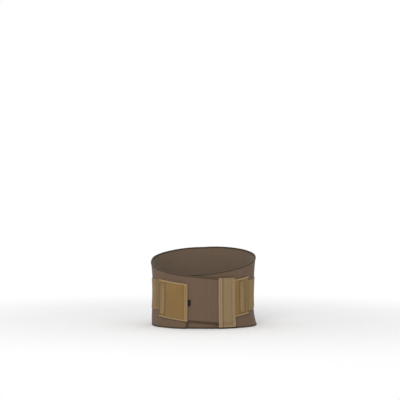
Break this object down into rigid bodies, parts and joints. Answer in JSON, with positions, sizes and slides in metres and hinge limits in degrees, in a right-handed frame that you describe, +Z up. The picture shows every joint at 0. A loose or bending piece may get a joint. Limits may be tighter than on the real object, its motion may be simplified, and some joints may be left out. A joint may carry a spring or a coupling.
{
  "type": "lumbar support belt",
  "caption": "Wrap-around lumbar support belt with a tall stayed back, two overlapping wings, a peel-off closure tongue and tab, and elastic side straps ending in pads.",
  "frame": {"origin": "middle of the footprint, on the surface that the belt's lower edge stands on", "axes": "+Z up the wearer's back, front of the belt towards -Y, +X to the right as seen from the front"},
  "size_m": [0.284, 0.2281, 0.2064],
  "materials": {
    "knit_brown": "taupe brown ribbed elastic knit, matt",
    "lining_brown": "dark brown soft mesh lining, matt",
    "binding_dark": "near-black folded binding tape",
    "webbing_tan": "beige woven elastic webbing",
    "pad_tan": "olive-tan brushed loop fabric",
    "tape_tan": "light beige woven tape",
    "hook_dark": "dark hook tape",
    "batten_plastic": "flexible white plastic strip",
    "spring_steel": "flat spring steel",
    "tag_black": "black woven tag, blank"
  },
  "bodies": {
    "back_panel": {"back_shell": "knit_brown", "back_lining": "lining_brown", "back_top_binding": "binding_dark", "back_bottom_binding": "binding_dark", "back_casing_1": "knit_brown", "back_casing_2": "knit_brown", "back_casing_3": "knit_brown", "back_casing_4": "knit_brown", "back_stay_1": "spring_steel", "back_stay_2": "spring_steel", "back_stay_3": "spring_steel", "back_stay_4": "spring_steel", "left_strap_rear": "webbing_tan", "right_strap_rear": "webbing_tan", "left_anchor_patch": "tape_tan", "right_anchor_patch": "tape_tan", "left_seam_tape": "tape_tan", "right_seam_tape": "tape_tan"},
    "left_wing": {"left_wing_shell": "knit_brown", "left_wing_lining": "lining_brown", "left_wing_top_binding": "binding_dark", "left_wing_bottom_binding": "binding_dark", "left_strap_keeper": "webbing_tan"},
    "right_wing": {"right_wing_shell": "knit_brown", "right_wing_lining": "lining_brown", "right_wing_top_binding": "binding_dark", "right_wing_bottom_binding": "binding_dark", "right_wing_end_binding": "binding_dark", "right_strap_keeper": "webbing_tan"},
    "closure_tongue": {"tongue_panel": "knit_brown", "tongue_top_binding": "binding_dark", "tongue_bottom_binding": "binding_dark", "closure_tab": "pad_tan", "tab_seam_tape": "tape_tan", "tab_edge_tape": "tape_tan", "tab_hook_patch": "hook_dark"},
    "left_strap": {"left_strap_front": "webbing_tan", "left_pad": "pad_tan", "left_pad_top_binding": "tape_tan", "left_pad_bottom_binding": "tape_tan", "left_pad_front_tape": "tape_tan", "left_pad_channel": "webbing_tan", "left_pad_batten": "batten_plastic", "left_pad_hook_patch": "hook_dark", "blank_tag": "tag_black"},
    "right_strap": {"right_strap_front": "webbing_tan", "right_pad": "pad_tan", "right_pad_top_binding": "tape_tan", "right_pad_bottom_binding": "tape_tan", "right_pad_front_tape": "tape_tan", "right_pad_channel": "webbing_tan", "right_pad_batten": "batten_plastic", "right_pad_hook_patch": "hook_dark"}
  },
  "joints": [
    {"name": "left_wing_open", "type": "hinge", "parent": "back_panel", "child": "left_wing", "pos_m": [-0.1423, 0.004, 0], "axis": [0, 0, -1], "range_deg": [0, 75]},
    {"name": "right_wing_open", "type": "hinge", "parent": "back_panel", "child": "right_wing", "pos_m": [0.1423, 0.004, 0], "axis": [0, 0, 1], "range_deg": [0, 45]},
    {"name": "closure_peel", "type": "hinge", "parent": "left_wing", "child": "closure_tongue", "pos_m": [-0.0322, -0.10876, 0], "axis": [0, 0, -1], "range_deg": [0, 100]},
    {"name": "left_strap_peel", "type": "hinge", "parent": "left_wing", "child": "left_strap", "pos_m": [-0.13554, -0.02749, 0], "axis": [0, 0, -1], "range_deg": [0, 60]},
    {"name": "right_strap_peel", "type": "hinge", "parent": "right_wing", "child": "right_strap", "pos_m": [0.13554, -0.02749, 0], "axis": [0, 0, 1], "range_deg": [0, 45]}
  ],
  "couplings": [
    {"joint": "right_wing_open", "follows": "left_wing_open", "ratio": 0.6},
    {"joint": "right_strap_peel", "follows": "closure_peel", "ratio": 0.45}
  ]
}
